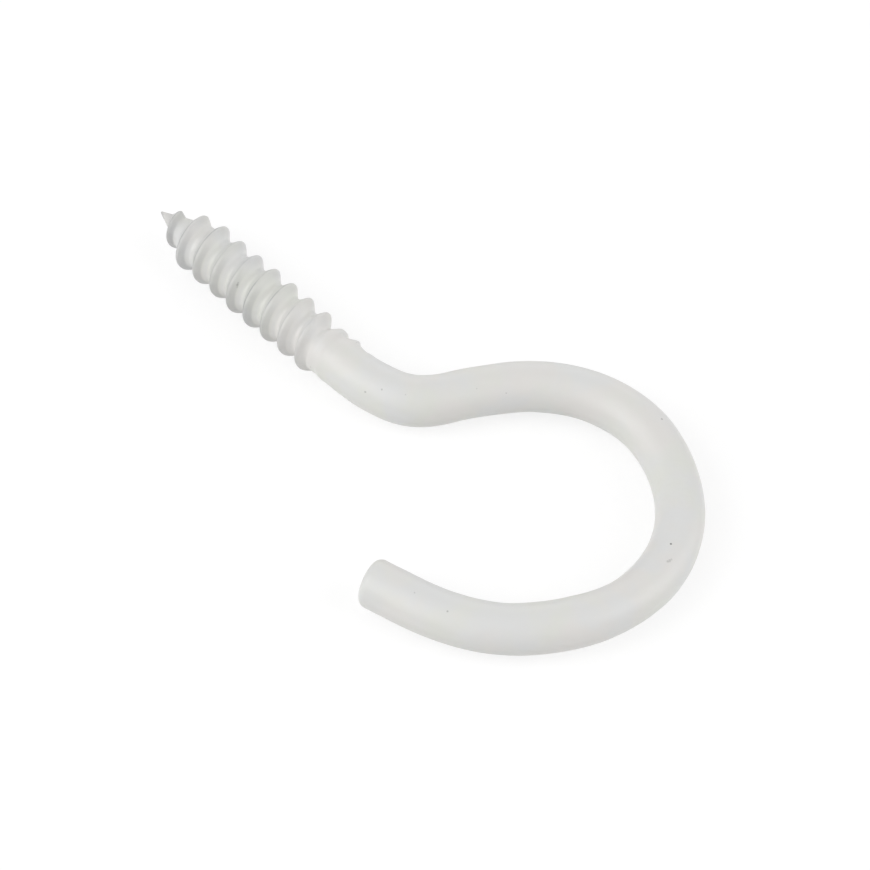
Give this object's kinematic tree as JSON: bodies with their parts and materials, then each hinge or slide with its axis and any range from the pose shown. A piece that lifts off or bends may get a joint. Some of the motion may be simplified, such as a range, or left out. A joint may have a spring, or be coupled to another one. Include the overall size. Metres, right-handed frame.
{
  "type": "screw hook",
  "caption": "Open round hook bent from coated steel wire, with a pointed wood-screw thread for driving it into a wall, shelf or ceiling to hang things from.",
  "frame": {"origin": "on the axis of the thread, at the thread's inner end, where the face of the wall would be", "axes": "+X along the axis of the thread from its point towards the hook, +Y to the side that the first bend turns to, +Z square to the plane of the bends"},
  "size_m": [0.0594, 0.0325, 0.0052],
  "materials": {
    "coating": "smooth satin off-white coating over steel wire"
  },
  "bodies": {
    "root": {"screw_hook": "coating"}
  },
  "joints": []
}
